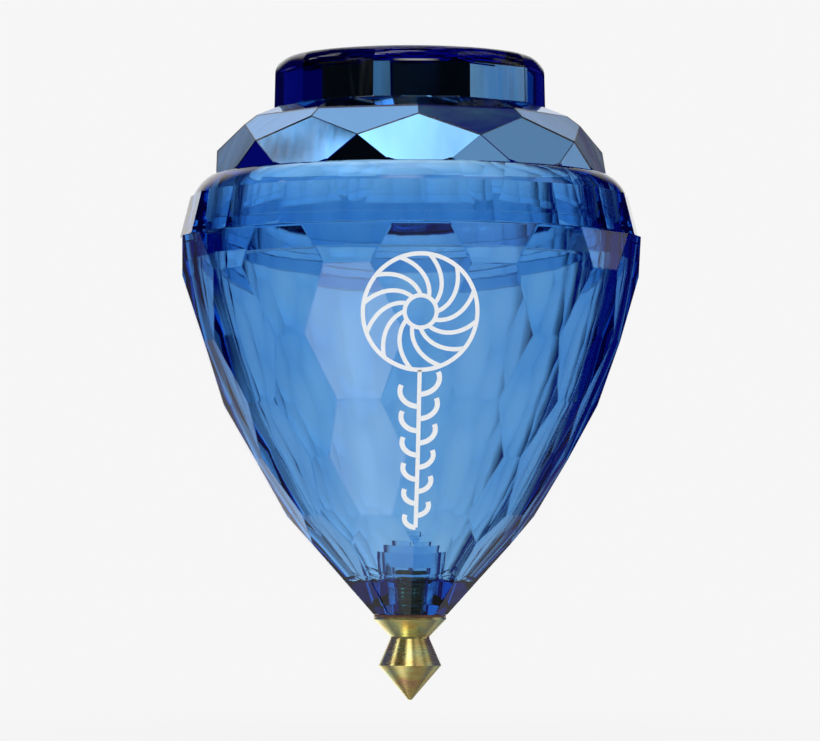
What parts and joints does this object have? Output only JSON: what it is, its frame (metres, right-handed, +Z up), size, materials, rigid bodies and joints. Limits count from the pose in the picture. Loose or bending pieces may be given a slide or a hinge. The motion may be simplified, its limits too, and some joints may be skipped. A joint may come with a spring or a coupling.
{
  "type": "throwing top",
  "caption": "Clear faceted plastic throwing top with a domed cap, a flat-sided crown for the cord and a turned metal tip that unscrews.",
  "frame": {"origin": "the rounded point of the metal tip, on the spin axis, where the top touches the floor when it spins", "axes": "+Z up the spin axis from the tip to the crown; -Y through the middle of one column of flats"},
  "size_m": [0.057, 0.0572, 0.0796],
  "materials": {
    "clear_blue": "polished clear blue plastic",
    "deep_blue": "polished clear deep blue plastic",
    "bush_blue": "clear blue plastic, moulded",
    "fibre": "brown vulcanised fibre",
    "zinc": "turned steel, yellow zinc plated"
  },
  "bodies": {
    "top": {"lower_shell": "clear_blue", "shoulder_ring": "clear_blue", "domed_cap": "deep_blue", "crown": "deep_blue", "tip_bush": "bush_blue"},
    "washer": {"seat_washer": "fibre"},
    "tip": {"tip": "zinc"}
  },
  "joints": [
    {"name": "washer_drop", "type": "slide", "parent": "top", "child": "washer", "axis": [0, 0, -1], "range_m": [0, 0.0036]},
    {"name": "tip_unscrew", "type": "hinge", "parent": "washer", "child": "tip", "pos_m": [0, 0, 0], "axis": [0, 0, -1], "range_deg": [0, 2160]}
  ],
  "couplings": [
    {"joint": "tip_unscrew", "follows": "washer_drop", "rad_per_m": 10472}
  ]
}
